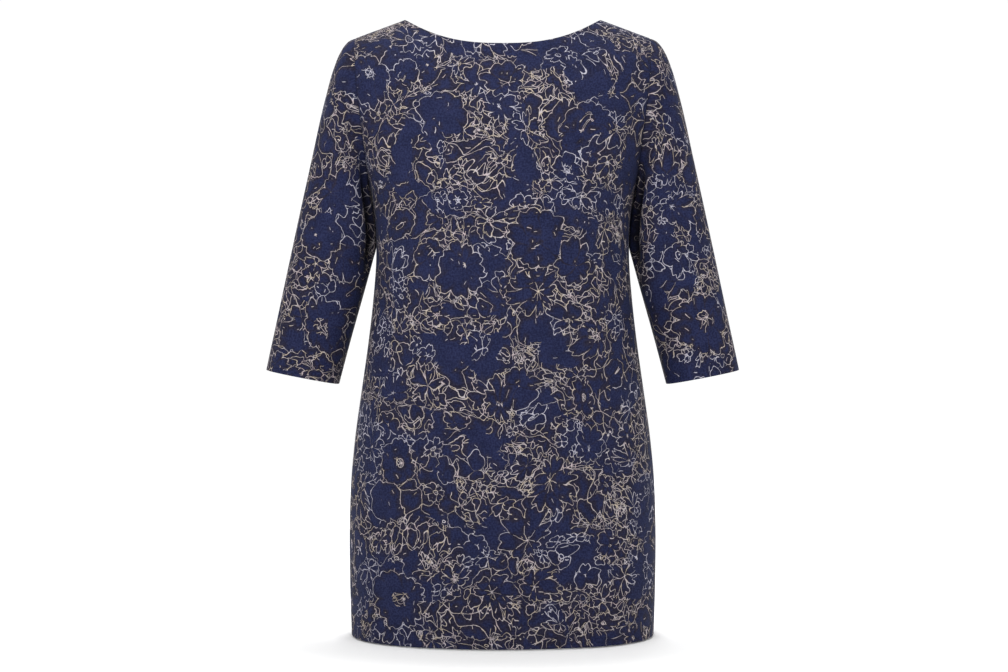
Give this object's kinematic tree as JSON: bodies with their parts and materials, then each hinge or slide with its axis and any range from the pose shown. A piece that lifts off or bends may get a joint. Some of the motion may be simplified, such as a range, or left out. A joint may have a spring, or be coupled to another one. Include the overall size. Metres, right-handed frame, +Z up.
{
  "type": "shift dress",
  "caption": "Hollow boat-neck shift dress with set-in three-quarter sleeves, filled out as it is worn, open at the neck, hem, cuffs and armholes.",
  "frame": {"origin": "midway between the neck ends of the two shoulder seams, where the wearer's shoulders hold the dress", "axes": "+Z up along the body, the front faces -Y, +X to the right in a front view"},
  "size_m": [0.6738, 0.2881, 0.878],
  "materials": {
    "cloth": "matt woven cloth, navy with a pale line print"
  },
  "bodies": {
    "root": {"front": "cloth", "back": "cloth", "sleeve_left": "cloth", "sleeve_right": "cloth"}
  },
  "joints": []
}
